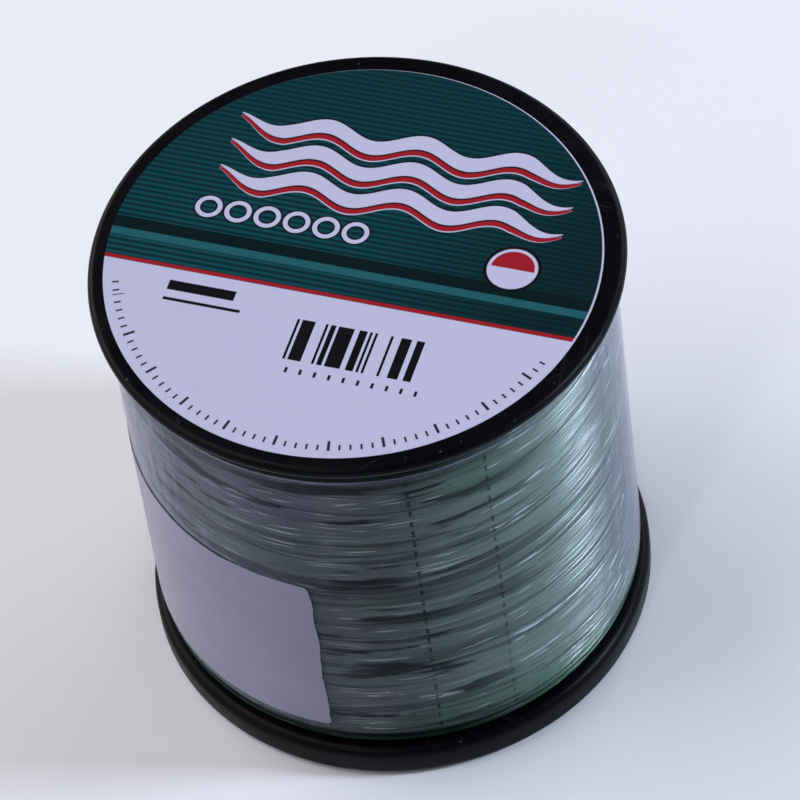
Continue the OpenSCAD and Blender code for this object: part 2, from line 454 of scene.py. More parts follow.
@effect("Soft mottle", {"Place": None, "Scale": 40.0, "Low": 0.0, "High": 1.0}, ["Value"])
def mottle(g, given):
    """A soft, cloudy change of tone between two values."""
    cloud = g.noise(given["Place"], given["Scale"], 3, 0.55)
    return [g.span(cloud, 0.3, 0.7, given["Low"], given["High"])]


@effect(
    "Strand tones",
    {"Place": None, "Foot": 0.0, "Head": 0.1},
    ["Tone", "Painted glint", "Patch", "Deep"],
)
def strand_tones(g, given):
    """Tones that change from turn to turn and along each turn, with patches, painted glints and
    dark gaps painted as the shade between the turns, deepest near the foot and the head, by the rim
    and under the flange.
    """
    place = given["Place"]
    along = g.streaks(place, (34, 34, 640), 2, 0.6)
    # short bright streaks for the painted glints
    short = g.streaks(place, (85, 85, 3400), 1, 0.4, place=(5, 3, 1))
    broad = g.streaks(place, (26, 26, 90), place=(2, 8, 4))
    deep = g.streaks(place, (46, 46, 430), place=(9, 1, 6))
    band = g.streaks(place, (16, 16, 260), place=(3, 5, 8))
    height = g.axes(place)["Z"]
    # painted shade: darker towards the pack's foot and head, by the lower rim and under the upper
    # flange
    foot = g.span(height, given["Foot"], g.plus(given["Foot"], 4.2 * MM), 0.68, 0)
    head = g.span(height, g.minus(given["Head"], 4.6 * MM), given["Head"])
    ends = g.math("MAXIMUM", foot, head)
    dark = g.math("MAXIMUM", g.span(deep, 0.575, 0.64), g.span(band, 0.52, 0.80))
    return [
        g.span(along, 0.34, 0.66),
        g.span(short, 0.655, 0.71),
        g.span(broad, 0.42, 0.62),
        g.plus(dark, ends, clamp=True),
    ]


def tones_of_line(g, place):
    """The strand tones, with the pack's ends at their places."""
    return strand_tones(g, Place=place, Foot=8.4 * MM, Head=73.0 * MM)


@effect("Strand lie", {"Place": None, "Normal": None, "Soften": 1.5, "Sway": 0.5}, ["Normal"])
def strand_lie(g, given):
    """How clear turns catch light together: softened across each turn and swayed along it."""
    place = given["Place"]
    axes = g.axes(place)
    radial = g.vectors("NORMALIZE", g.vector(axes["X"], axes["Y"], 0.0))
    across = g.axes(radial)
    tangent = g.vector(g.times(across["Y"], -1), across["X"], 0.0)
    lean = math.radians(42)  # turns lean towards the light above them
    outward = g.vectors("ADD", g.scaled(radial, math.cos(lean)), (0, 0, math.sin(lean)))
    bunch = g.streaks(place, (24, 24, 380), 2, 0.6, place=(7, 2, 3))
    sway = g.times(g.minus(bunch, 0.5), given["Sway"])
    soft = g.vectors("ADD", g.scaled(outward, given["Soften"]), given["Normal"])
    return [g.vectors("NORMALIZE", g.vectors("ADD", soft, g.scaled(tangent, sway)))]


@effect("Paper grain", {"Place": None, "Scale": 5200.0}, ["Height"])
def paper_grain(g, given):
    """Fine paper fibres, as a height."""
    fibre = g.noise(given["Place"], given["Scale"], 4, 0.65)
    pulp = g.noise(given["Place"], g.times(given["Scale"], 0.16), 2, 0.5)
    return [g.plus(g.times(fibre, 0.7), g.times(pulp, 0.3))]


def look(title, **plain):
    """Makes a material of a function that links what changes. The plain values set the rest."""

    def shared(build):
        def made(*settings, name=title, **more):
            material = bpy.data.materials.get(name)
            if material:
                return material
            material = bpy.data.materials.new(name)
            material.use_nodes = True
            material.node_tree.nodes.clear()
            g = Graph(material.node_tree)
            shader = g.node("ShaderNodeBsdfPrincipled")
            g.put(g.node("ShaderNodeOutputMaterial").inputs["Surface"], shader.outputs[0])
            g.fill(shader, {key.replace("_", " "): value for key, value in plain.items()})
            build(g, shader.inputs, *settings, **more)
            return material

        return made

    return shared


@look("Black moulded plastic", Specular_IOR_Level=0.08)
def black_plastic(g, shader, colours):
    """Glossy moulded plastic with hairline scratches, dust and dulled patches."""
    place = g.place()
    scratch = scratches(g, Place=place, Scale=1.0, Amount=0.8)["Mask"]
    speck = dust(g, Place=place, Scale=620.0, Size=0.13)["Mask"]
    dull = mottle(g, Place=place, Scale=120.0, Low=0.28, High=0.42)["Value"]
    pale_dust = (0.20, 0.19, 0.24)
    tone = g.mix(g.times(scratch, 0.5), colours.plastic, colours.plastic_worn)
    g.put(shader["Base Color"], g.mix(g.times(speck, 0.35), tone, pale_dust))
    rough = g.plus(dull, g.times(scratch, 0.22), clamp=True)
    g.put(shader["Roughness"], g.math("MAXIMUM", rough, g.times(speck, 0.7)))
    skin = g.bump(g.noise(place, 260, 2, 0.5), 0.10, 0.25 * MM)
    g.put(shader["Normal"], g.bump(g.minus(speck, scratch), 0.35, 0.02 * MM, skin))


@look("Extruded tube plastic")
def tube_plastic(g, shader, colours):
    """Duller extruded plastic with draw lines along the tube."""
    place = g.place()
    drawn = g.streaks(place, (900, 900, 12))
    scratch = scratches(g, Place=place, Scale=0.8, Amount=0.6)["Mask"]
    dull_black = (0.012, 0.012, 0.015)
    g.put(shader["Base Color"], g.mix(scratch, dull_black, colours.plastic_worn))
    g.put(shader["Roughness"], g.span(drawn, 0.3, 0.7, 0.34, 0.52))
    g.put(shader["Normal"], g.bump(drawn, 0.3, 0.04 * MM))


@look("Crepe start tape")
def crepe_tape(g, shader, colours):
    """Crinkled paper tape."""
    place = g.place()
    crinkle = g.streaks(place, (2600, 2600, 500), 2, 0.6)
    fibre = paper_grain(g, Place=place, Scale=4000.0)["Height"]
    tone = g.mix(g.span(crinkle, 0.35, 0.65), colours.tape, darker(colours.tape, 0.6))
    g.put(shader["Base Color"], tone)
    g.put(shader["Roughness"], g.span(fibre, 0.3, 0.7, 0.62, 0.85))
    g.put(shader["Normal"], g.bump(crinkle, 0.6, 0.06 * MM))


@look("Line", IOR=1.53)
def line_strand(g, shader, colours, bright, dim, gloss):
    """Green monofilament: glossy, with tones that change from turn to turn, and painted light:
    lighter and greener on the lit right side, slate on the shaded left, painted glints, and painted
    shade in the gaps and at the ends.
    """
    place = g.place()
    tones = tones_of_line(g, place)
    axes = g.axes(place)
    side = axes["X"]
    painted_right_light = g.span(side, -12 * MM, 26 * MM)
    # painted shade in the gaps, weaker on the right side, where the light passes through the turns
    deep = g.times(tones["Deep"], g.span(side, 4 * MM, 24 * MM, 1.0, 0.36))
    tone = g.mix(tones["Tone"], colours.line_mid, colours.line_light)
    # painted light by side: slate on the left, away from the main light, pale on the lit right, and
    # slate again round the right edge
    for share, tint in (
        (g.span(side, -20 * MM, 10 * MM, 0.62, 0.12), colours.line_slate),
        (g.span(painted_right_light, 0, 1, 0.0, 0.68), colours.line_lit_side),
        (g.span(side, 26 * MM, 35 * MM, 0.0, 0.8), colours.line_slate),
    ):
        tone = g.mix(share, tone, tint)
    # green patches at random, with more green painted on the lit right side as light through the
    # turns, and dark green painted as shade along the foot, lighter on the right
    patch = g.math("MAXIMUM", tones["Patch"], g.span(painted_right_light, 0.3, 0.8, 0.0, 0.35))
    tone = g.mix(g.times(patch, g.span(painted_right_light, 0, 1, 0.30, 0.80)), tone, colours.line_green)
    near_foot = g.span(axes["Z"], 8 * MM, 17 * MM, 0.9, 0.0)
    green = g.mix(painted_right_light, darker(colours.line_green, 0.4), colours.line_green)
    tone = g.mix(near_foot, tone, green)
    # painted shade: dark in the gaps and near the pack's foot and head
    tone = g.mix(g.times(deep, 0.93), tone, colours.line_dark)
    # painted glints, short, fewer to the far left
    clear = g.times(g.minus(1.0, deep), g.span(side, -30 * MM, -10 * MM, 0.25, 1.0))
    painted_glint = g.times(g.times(tones["Painted glint"], clear), bright)
    tone = g.mix(painted_glint, tone, (0.62, 0.72, 0.74))
    # painted shade: the bed's copy of the line is darkened as a whole
    g.put(shader["Base Color"], g.mix(1.0, tone, (dim, dim, dim), blend="MULTIPLY"))
    rough = g.span(tones["Tone"], 0, 1, 0.30, 0.23)
    # the painted gap shade also roughens the gaps and makes them metallic, which darkens them
    # further
    g.put(shader["Roughness"], g.plus(rough, g.times(deep, 0.34)))
    g.put(shader["Metallic"], g.times(deep, 0.85))
    g.put(shader["Specular IOR Level"], gloss)
    own = g.node("ShaderNodeNewGeometry").outputs["Normal"]
    lie = strand_lie(g, Place=place, Normal=own, Soften=3.4, Sway=0.80)["Normal"]
    g.put(shader["Normal"], g.bump(tones["Tone"], 0.16, 0.3 * MM, lie))


@look("Deep line layers", IOR=1.53, Specular_IOR_Level=0.25)
def line_depth(g, shader, colours):
    """What shows between the turns: deeper layers, green, and painted dark as the shade between the
    turns.
    """
    place = g.place()
    tones = tones_of_line(g, place)
    # painted shade: dark colour for the layers between the turns, darker still in the painted gaps
    tone = g.mix(g.times(tones["Tone"], 0.4), colours.line_dark, colours.line_green)
    g.put(shader["Base Color"], g.mix(tones["Deep"], tone, colours.line_dark))
    g.put(shader["Roughness"], g.span(tones["Tone"], 0, 1, 0.55, 0.40))
    rows = g.streaks(place, (20, 20, 2200), 1)
    g.put(shader["Normal"], g.bump(rows, 0.8, 0.2 * MM))


@look("Clear shrink film", Metallic=1.0)
def clear_film(g, shader, colours):
    """Clear shrunk film: it mirrors what it is seen against, and more so at a flat angle."""
    place = g.place()
    folds = g.streaks(place, (150, 150, 26), 3, 0.6)
    dents = g.streaks(place, (420, 420, 160), place=(4, 4, 4))
    scratch = scratches(g, Place=place, Scale=0.7, Amount=0.5)["Mask"]
    wrinkle = g.bump(folds, 0.55, 0.9 * MM, g.bump(dents, 0.35, 0.25 * MM))
    g.put(shader["Base Color"], colours.film)
    g.put(shader["Normal"], wrinkle)
    g.put(shader["Roughness"], g.plus(0.10, g.times(scratch, 0.3)))
    angle = g.fill(g.node("ShaderNodeLayerWeight"), {"Blend": 0.5, "Normal": wrinkle})
    flat = g.times(g.math("POWER", angle["Facing"], 5.0), 0.62)
    haze = g.plus(flat, g.times(scratch, 0.05))
    g.put(shader["Alpha"], g.plus(haze, 0.003, clamp=True))


@look("Pinched film with painted shade", Specular_IOR_Level=0.08)
def pinched_film_shade(g, shader):
    """The film's crushed lips round the slits of the tear strip, painted near black as the shade
    seen in the slits.
    """
    place = g.place()
    crumple = g.noise(place, 700, 1, 0.4)
    # painted shade: near-black lips where the slits show shade
    tone = g.mix(crumple, (0.009, 0.012, 0.017), (0.018, 0.023, 0.031))
    g.put(shader["Base Color"], tone)
    g.put(shader["Roughness"], g.span(crumple, 0.3, 0.7, 0.3, 0.6))
    # the lips stand out most at the top of the left row
    spot = g.axes(place)
    fade = g.span(spot["Z"], 22 * MM, 64 * MM, 0.40, 1.0)
    aside = g.span(spot["X"], 5 * MM, 12 * MM, 1.0, 0.50)
    torn = g.span(g.noise(place, 1500, 1, 0.5), 0.36, 0.54, 0.10, 0.85)
    g.put(shader["Alpha"], g.times(g.times(fade, aside), torn))


@look("Sticker paper", Specular_IOR_Level=0.35, Sheen_Weight=0.35, Sheen_Roughness=0.4)
def sticker_paper(g, shader, colours):
    """Matt paper with faint diagonal creases and cloudy show-through."""
    place = g.place()
    fibre = paper_grain(g, Place=place, Scale=4200.0)["Height"]
    cloud = mottle(g, Place=place, Scale=60.0, Low=0.88, High=1.06)["Value"]
    bands = g.streaks(place, (22, 22, 160))
    slope = g.stretch(place, scale=(14, 14, 150), turned=(0.30, 0.2, 0.1))
    crease = g.span(g.away(g.noise(slope, 1, 1, 0.4), 0.5), 0.0, 0.006, 1, 0)
    tone = g.mix(1.0, colours.sticker, cloud, blend="MULTIPLY")
    tone = g.mix(g.span(bands, 0.4, 0.7, 0.0, 0.16), tone, darker(colours.sticker, 0.6))
    g.put(shader["Base Color"], g.mix(g.times(crease, 0.08), tone, colours.paper))
    g.put(shader["Roughness"], g.span(fibre, 0.3, 0.7, 0.55, 0.75))
    folded = g.plus(g.times(bands, 0.6), g.times(crease, 0.06))
    paper = g.bump(fibre, 0.35, 0.05 * MM)
    g.put(shader["Normal"], g.bump(folded, 0.45, 0.6 * MM, paper))


@look("Label paper edge")
def paper_edge(g, shader, colours):
    """The cut edge of the label's paper."""
    fibre = paper_grain(g, Place=g.place(), Scale=5200.0)["Height"]
    g.put(shader["Base Color"], g.mix(fibre, darker(colours.paper, 0.8), colours.paper))
    g.put(shader["Roughness"], g.span(fibre, 0.3, 0.7, 0.5, 0.8))


@look("Label print", Specular_IOR_Level=0.07)
def label_print(g, shader, colours, centre):
    """A striped teal field with plain waves, rings and bars, and a pale chord."""
    place = g.stretch(g.place(), place=(-centre.x, -centre.y, 0))
    spot = g.axes(place)
    x, y = spot["X"], spot["Y"]
    tilted = g.axes(g.stretch(place, turned=(0, 0, math.radians(24))))
    u, v = tilted["X"], tilted["Y"]
    soft = 0.06 * MM
    ink_white, ink_black = colours.paper, (0.004, 0.004, 0.006)

    def inside(value, half):
        """Where a distance is less than half a width."""
        return g.span(g.minus(value, half), -soft, soft, 1, 0)

    def beyond(value, start):
        return g.span(value, start - soft, start + soft)

    def block(u0, half_u, v0, half_v):
        """A plain rectangle, by its middle and half its sides."""
        return g.times(inside(g.away(u, u0), half_u), inside(g.away(v, v0), half_v))

    def radius_from(x, y, x0, y0):
        a, b = g.minus(x, x0), g.minus(y, y0)
        return g.math("SQRT", g.plus(g.times(a, a), g.times(b, b)))

    def repeated(value, start, step):
        """A distance that runs up and down along a value; the start keeps it positive."""
        return g.math("PINGPONG", g.plus(value, start), step)

    # striped field, darker towards the lower right
    wave = g.math("SINE", g.times(v, math.tau / (0.98 * MM)))
    fade_x = g.span(x, -30 * MM, 34 * MM, 0.95, 0.45)
    fade_y = g.span(y, 10 * MM, 34 * MM, 1.0, 0.5)
    stripes = g.times(g.span(wave, -0.6, 0.7), g.times(fade_x, fade_y))
    tone = g.mix(stripes, colours.teal, colours.teal_light)
    shade = g.span(g.minus(g.times(x, 0.8), y), 0.0, 36 * MM)
    # two straight ribbons across the field
    coats = [
        (g.times(shade, 0.7), colours.teal_dark),
        (inside(g.away(v, -0.8 * MM), 1.1 * MM), colours.teal_dark),
        (inside(g.away(v, -2.6 * MM), 0.7 * MM), (0.014, 0.105, 0.120)),
    ]
    # three waves, outlined, with a red shade under each
    sway = g.times(g.math("SINE", g.times(u, math.tau / (15 * MM))), 1.3 * MM)
    swell = g.minus(v, sway)
    end = g.span(g.away(u, 2 * MM), 19 * MM, 27.5 * MM, 1.0, 0.0)
    shown = g.math("GREATER_THAN", end, 0.06)
    for extra, drop, ink in (
        (0.8 * MM, 0.6 * MM, ink_white),
        (0.6 * MM, 0.6 * MM, colours.red),
        (0.3 * MM, 0.0, ink_black),
        (0.0, 0.0, ink_white),
    ):
        half = g.times(end, 1.35 * MM + extra)
        waves = 0.0
        for row in (22.5 * MM, 17.2 * MM, 11.9 * MM):
            wave = g.times(inside(g.away(swell, row - drop), half), shown)
            waves = g.math("MAXIMUM", waves, wave)
        coats.append((waves, ink))
    # a row of linked rings
    step = 4.6 * MM
    cell = g.minus(repeated(u, 0.1, step), step / 2)
    ring = g.away(radius_from(cell, v, 0.0, 4.8 * MM), 1.7 * MM)
    reach = inside(g.away(u, -12.6 * MM), 13.8 * MM)
    # a float: a round mark, red above and white below
    ball = radius_from(u, v, 23.6 * MM, 3.4 * MM)
    # the pale chord, and a red line along it
    edge = -7.8 * MM
    pale = g.minus(1.0, beyond(v, edge))
    # bars of uneven width, short ticks under them, a thick dash and a thin one
    coin = g.node("ShaderNodeTexWhiteNoise", noise_dimensions="1D")
    column = g.math("FLOOR", g.math("DIVIDE", u, 0.4 * MM))
    drawn = g.math("GREATER_THAN", g.fill(coin, {"W": column})["Value"], 0.46)
    short = inside(repeated(u, 0.1, 1.1 * MM), 0.22 * MM)
    coats += [
        (g.times(inside(ring, 0.62 * MM), reach), ink_black),
        (g.times(inside(ring, 0.36 * MM), reach), ink_white),
        (inside(ball, 4.3 * MM), ink_black),
        (inside(ball, 3.8 * MM), ink_white),
        (g.times(inside(ball, 3.3 * MM), beyond(v, 3.4 * MM)), colours.red),
        (inside(g.away(v, edge + 0.4 * MM), 0.35 * MM), colours.red),
        (pale, ink_white),
        (g.times(drawn, block(6.0 * MM, 10.5 * MM, -16.5 * MM, 3.8 * MM)), ink_black),
        (g.times(short, block(6.2 * MM, 10.8 * MM, -22.2 * MM, 0.5 * MM)), ink_black),
        (block(-20.0 * MM, 5.2 * MM, -10.8 * MM, 0.9 * MM), ink_black),
        (block(-19.2 * MM, 6.0 * MM, -13.4 * MM, 0.28 * MM), ink_black),
    ]
    # short and long ticks of a plain scale that follows the rim
    rim = radius_from(x, y, 0.0, 0.0)
    angle = g.math("ARCTAN2", y, x)
    ticks = []
    for apart, half, middle, reach in ((1.3, 0.16, 35.2, 0.5), (6.5, 0.22, 34.9, 0.9)):
        aside = g.times(repeated(angle, 7.0, math.radians(apart)), 35 * MM)
        along = inside(g.away(rim, middle * MM), reach * MM)
        ticks.append(g.times(inside(aside, half * MM), along))
    low_part = g.times(pale, beyond(g.times(v, -1), 11.5 * MM))
    coats.append((g.times(g.math("MAXIMUM", *ticks), low_part), (0.02, 0.02, 0.03)))
    # bare paper where the print stops short of the cut edge
    off = radius_from(x, y, -0.16 * MM, 0.10 * MM)
    coats.append((beyond(off, 37 * MM), ink_white))
    for mask, ink in coats:
        tone = g.mix(mask, tone, ink)
    fibre = paper_grain(g, Place=place, Scale=5200.0)["Height"]
    g.put(shader["Base Color"], g.mix(g.span(fibre, 0.3, 0.7, 0.0, 0.10), tone, ink_black))
    cloud = mottle(g, Place=place, Scale=50.0, Low=0.42, High=0.54)["Value"]
    scratch = scratches(g, Place=place, Scale=0.9, Amount=0.4)["Mask"]
    g.put(shader["Roughness"], g.plus(cloud, g.times(scratch, 0.2)))
    g.put(shader["Normal"], g.bump(fibre, 0.06, 0.04 * MM))


@look("Studio floor", Roughness=0.75, Specular_IOR_Level=0.2)
def studio_floor(g, shader):
    """Pale plain floor."""
    place = g.place()
    cloud = mottle(g, Place=place, Scale=3.0, Low=0.97, High=1.0)["Value"]
    g.put(shader["Base Color"], g.mix(1.0, (0.90, 0.90, 0.90), cloud, blend="MULTIPLY"))


# --- Operators ---


def flange_rings(s, level, way):
    """Outline of a flange's collar and drum ring, from the bore outwards, up or down."""
    collar_end = level + way * s.collar_height
    spigot_end = level + way * s.spigot_height
    collar_out = s.collar + s.collar_wall
    spigot_in = s.spigot - s.spigot_wall
    return [
        (s.bore, level),
        (s.collar, level),
        (s.collar, collar_end),
        (collar_out, collar_end),
        (collar_out, level),
        (spigot_in, level),
        (spigot_in, spigot_end),
        (s.spigot, spigot_end),
        (s.spigot, level),
    ]


class SPOOL_OT_flanges(Operator):
    """Models the two moulded flanges"""

    bl_idname = "spool.flanges"
    bl_label = "Flanges"

    def execute(self, context):
        s = context.scene.spool_flanges
        plastic = black_plastic(context.scene.spool_colours)
        top = CAD_BOX[1].z - context.scene.spool_wraps.paper
        seat = top - s.upper_thickness
        bm = bmesh.new()
        rim = [(s.upper_radius, seat), (s.upper_radius, top), (s.bore, top)]
        lathe(bm, flange_rings(s, seat, -1) + rim, ROUND)
        edges = [(s.upper_radius, seat), (s.upper_radius, top)]
        round_loops(bm, edges, s.upper_thickness * 0.499, 7)
        piece_from(bm, "upper_flange_moulding", ["upper_flange"], [plastic])

        bm = bmesh.new()
        collar_out = s.collar + s.collar_wall
        rim_in = s.lower_radius - s.rim_wall
        web_low = s.rim_height - s.web
        underside = [
            (s.bore, s.under_gap),
            (collar_out, s.under_gap),
            (collar_out, web_low),
            (rim_in, web_low),
            (rim_in, 0),
            (s.lower_radius, 0),
            (s.lower_radius, s.rim_height),
        ]
        lathe(bm, underside + flange_rings(s, s.rim_height, 1)[::-1], ROUND)
        round_loops(bm, [(s.lower_radius, 0), (s.lower_radius, s.rim_height)], s.rim_rounding, 7)
        round_loops(bm, [(s.bore, s.under_gap)], 0.6 * MM, 1)
        round_loops(bm, [(rim_in, 0), (collar_out, s.under_gap), (rim_in, web_low)], 0.4 * MM, 3)
        start = collar_out - s.collar_wall / 2
        for i in range(s.rib_count):
            made = bmesh.ops.create_cube(bm, size=1)["verts"]
            tall = web_low - s.under_gap + s.web / 2
            box = (rim_in + s.rim_rounding / 2 - start, s.rib_wall, tall)
            middle = (start + box[0] / 2, 0, s.under_gap + box[2] / 2)
            bmesh.ops.scale(bm, vec=box, verts=made)
            bmesh.ops.translate(bm, vec=middle, verts=made)
            # the lower edges that run along the rib
            edges = {e for v in made for e in v.link_edges}
            under = [e for e in edges if all(w.co.z < s.under_gap + 1e-5 for w in e.verts)]
            foot = [e for e in under if abs(e.verts[0].co.y - e.verts[1].co.y) < 1e-5]
            bevelled = bevel(bm, foot, 0.4 * MM, 3)
            turned = {v for v in made if v.is_valid} | set(bevelled["verts"])
            spun = {w for v in turned for e in v.link_edges for w in e.verts}
            bmesh.ops.rotate(
                bm,
                cent=(0, 0, 0),
                matrix=Matrix.Rotation(math.tau * i / s.rib_count, 3, "Z"),
                verts=list(turned | spun),
            )
        piece_from(bm, "lower_flange_moulding", ["lower_flange"], [plastic])
        return {"FINISHED"}


class SPOOL_OT_hidden_core(Operator):
    """Finishes the drum, the centre tube and the start tape"""

    bl_idname = "spool.hidden_core"
    bl_label = "Drum, Centre Tube and Start Tape"

    def execute(self, context):
        colours = context.scene.spool_colours
        finishes = {
            "hub_barrel": tube_plastic(colours),
            "arbor_tube": tube_plastic(colours),
            "line_start_tape": crepe_tape(colours),
        }
        for node, finish in finishes.items():
            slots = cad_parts[node].material_slots
            if not slots:
                raise RuntimeError(f"{node} has no material slot")
            for slot in slots:
                slot.material = finish
        return {"FINISHED"}


def shoulder_place(s, way, radius, foot, head):
    """Radius, height and outward direction at a distance along the wound surface."""
    arc = s.shoulder * math.pi / 2
    straight = head - foot - 2 * s.shoulder
    if arc <= way < arc + straight:
        return radius, foot + s.shoulder + way - arc, (1.0, 0.0)
    if way < arc:
        a = way / s.shoulder
        out, middle = (math.sin(a), -math.cos(a)), foot + s.shoulder
    else:
        a = (way - arc - straight) / s.shoulder
        out, middle = (math.cos(a), math.sin(a)), head - s.shoulder
    return radius - s.shoulder + s.shoulder * out[0], middle + s.shoulder * out[1], out


def fan_sway(share, angle):
    """How the turns fan out along the spool: the higher ones rise where the lower ones fall."""
    still, reach, heading = 0.56, 18.8 * MM, math.radians(44)
    slope = min(max(0.26 * (share - still), -0.10), 0.08)
    ends = min(1.0, 9 * share, 9 * (1 - share))
    return slope * ends * reach * math.sin(2 * (angle + heading))


def wound_piece(name, points, radius, finish):
    """A tube of one long line, made into a mesh from a curve."""
    curve = bpy.data.curves.new(name, "CURVE")
    curve.dimensions = "3D"
    curve.twist_mode = "Z_UP"
    curve.fill_mode = "FULL"
    curve.bevel_depth = radius
    curve.bevel_resolution = 1
    curve.use_fill_caps = True
    spline = curve.splines.new("POLY")
    spline.points.add(len(points) - 1)
    spline.points.foreach_set("co", [c for p in points for c in (*p, 1.0)])
    holder = linked(name, curve)
    depsgraph = bpy.context.evaluated_depsgraph_get()
    mesh = bpy.data.meshes.new_from_object(holder.evaluated_get(depsgraph))
    bpy.data.objects.remove(holder)
    bpy.data.curves.remove(curve)
    mesh.name = name
    mesh.materials.clear()
    return dress(mesh, mesh.name, ["line_outer_layer"], [finish], 0)


class SPOOL_OT_wound_line(Operator):
    """Winds the line: its deep layers, a bed of close turns and looser turns across them"""

    bl_idname = "spool.wound_line"
    bl_label = "Wound Line"

    def execute(self, context):
        s = context.scene.spool_line
        colours = context.scene.spool_colours
        foot = context.scene.spool_flanges.rim_height + 0.02 * MM
        head = high("line_pack_core").z
        line = s.diameter / 2
        top_radius = s.outer_radius - line
        bed_radius = top_radius - s.diameter * 0.50
        deep_radius = bed_radius - line * 0.75

        bm = bmesh.new()
        across, up = (s.bore_radius, deep_radius), (foot, head)
        corners = [(across[i], up[j]) for i, j in ((0, 0), (1, 0), (1, 1), (0, 1))]
        lathe(bm, corners, 160)
        round_loops(bm, [(deep_radius, foot), (deep_radius, head)], s.shoulder, 8)
        piece_from(bm, "deep_line_layers", ["line_pack_core"], [line_depth(colours)])

        arc = s.shoulder * math.pi / 2
        whole = 2 * arc + head - foot - 2 * line - 2 * s.shoulder
        start, end = arc * 0.12, whole - arc * 0.12
        turns = int((end - start) / s.pitch)
        steps = 92  # corners of one turn
        points = []
        for i in range(turns * steps + 1):
            lap = i / steps
            a = math.tau * lap
            c, d = math.cos(a), math.sin(a)
            way = start + (end - start) * i / (turns * steps)
            sway = s.bed_sway * smooth_noise(c * 1.1, d * 1.1, lap * 0.11)
            sway += 0.28 * s.diameter * smooth_noise(c * 1.7 + 5, d * 1.7, lap * 0.93)
            sway += fan_sway(way / whole, a)
            way = min(max(way + sway * math.sin(math.pi * min(1, way / whole)), start), end)
            r, z, out = shoulder_place(s, way, bed_radius, foot + line, head - line)
            lift = 0.10 * s.diameter * smooth_noise(c * 2.3, d * 2.3 + 3, lap * 1.3)
            r, z = r + out[0] * lift, z + out[1] * lift
            points.append((r * c, r * d, z))
        # the bed: a copy of the line painted darker as the shade under the crossing turns, with
        # weaker painted glints
        finish = line_strand(colours, bright=0.3, dim=0.58, gloss=0.18, name="Line bed")
        wound_piece("close_line_turns", points, line, finish)

        # the crossing turns lie in bunches, with the bed showing between them
        dice = random.Random(7)
        tracks, bunch = [], []
        while len(tracks) < s.crossing_turns:
            for i in range(dice.choice((2, 4, 5, 7, 9))):
                advance = 1.0 if i else dice.choice((1.05, 1.15, 1.3, 2.2, 3.6))
                tracks.append(tracks[-1] + advance if tracks else 0.0)
                bunch.append(bunch[-1] + (0.0 if i else 1.0) if bunch else 0.0)
        span = whole - 1.2 * arc
        tracks = [arc * 0.6 + span * t / tracks[-1] for t in tracks]
        steps = 110  # corners of one turn
        points = []
        for i in range((len(tracks) - 1) * steps + 1):
            lap, part = divmod(i, steps)
            a = math.tau * i / steps + math.radians(205)
            c, d = math.cos(a), math.sin(a)
            after = min(lap + 1, len(tracks) - 1)
            part = part / steps
            way = tracks[lap] + (tracks[after] - tracks[lap]) * part
            lot = bunch[lap] + (bunch[after] - bunch[lap]) * part
            sway = s.crossing_sway * smooth_noise(c * 0.9, d * 0.9 + 7, lot * 1.7)
            sway += 0.45 * s.crossing_sway * smooth_noise(c * 2.7, d * 2.7, lot * 2.3 + 9)
            sway += 0.5 * s.diameter * smooth_noise(c * 1.6, d * 1.6 + 2, i / steps * 0.9)
            sway += fan_sway(way / whole, a)
            way = min(max(way + sway, arc * 0.5), whole - arc * 0.5)
            r, z, out = shoulder_place(s, way, top_radius, foot + line, head - line)
            lift = -0.10 * s.diameter * abs(smooth_noise(c * 2.3, d * 2.3, i / steps * 1.1))
            points.append(((r + lift) * c, (r + lift) * d, z))
        finish = line_strand(colours, bright=0.8, dim=1.0, gloss=0.5, name="Line crossing")
        wound_piece("crossing_line_turns", points, line, finish)
        return {"FINISHED"}


class SPOOL_OT_clear_band(Operator):
    """Models the clear shrunk band and the slits of its tear strip"""

    bl_idname = "spool.clear_band"
    bl_label = "Clear Band"

    def execute(self, context):
        s = context.scene.spool_wraps
        foot, head = low("shrink_band").z, high("shrink_band").z
        around = math.tau * s.film_radius
        margin = 20 * MM
        strip = [margin, margin + s.tear_width]
        count = int((head - foot - s.slit_length) / s.slit_pitch)
        first = (head - foot - (count - 1) * s.slit_pitch) / 2
        spots = [first + i * s.slit_pitch for i in range(count)]
        half, tall = s.slit_width / 2, s.slit_length / 2
        rim = 0.08 * MM
        across = [x + side for x in strip for side in (-half - rim, -half, half, half + rim)]
        up = [z + side for z in spots for side in (-tall - rim, -tall, tall, tall + rim)]
        bm = bmesh.new()
        across += steps_between(0, around, 2.4 * MM)
        flat_patch(bm, around, head - foot, 0, across, up)
        slits = 0
        # faces in and round each slit take the dark lip finish, painted as the shade seen in the
        # slits
        for face in bm.faces:
            centre = face.calc_center_median()
            aside = min(abs(centre.x - x) for x in strip)
            above = min(abs(centre.y - z) for z in spots)
            if aside < half + rim and above < tall + rim:
                face.material_index = 1
                slits += 1
        if slits < 2 * count:
            raise RuntimeError("the tear strip's slits weren't cut")
        start = s.tear_start - strip[0] / s.film_radius
        wrap_round(bm, s.film_radius, start, foot)
        bmesh.ops.remove_doubles(bm, verts=bm.verts[:], dist=1e-6)
        thicken(bm, s.film)
        # the film's cut ends take the dark lip finish too: painted shade along the band's top and
        # foot
        for face in bm.faces:
            if abs(face.normal.z) > 0.5:
                face.material_index = 1
        colours = context.scene.spool_colours
        films = [clear_film(colours), pinched_film_shade()]
        piece_from(bm, "clear_shrink_band", ["shrink_band"], films, 0)
        return {"FINISHED"}


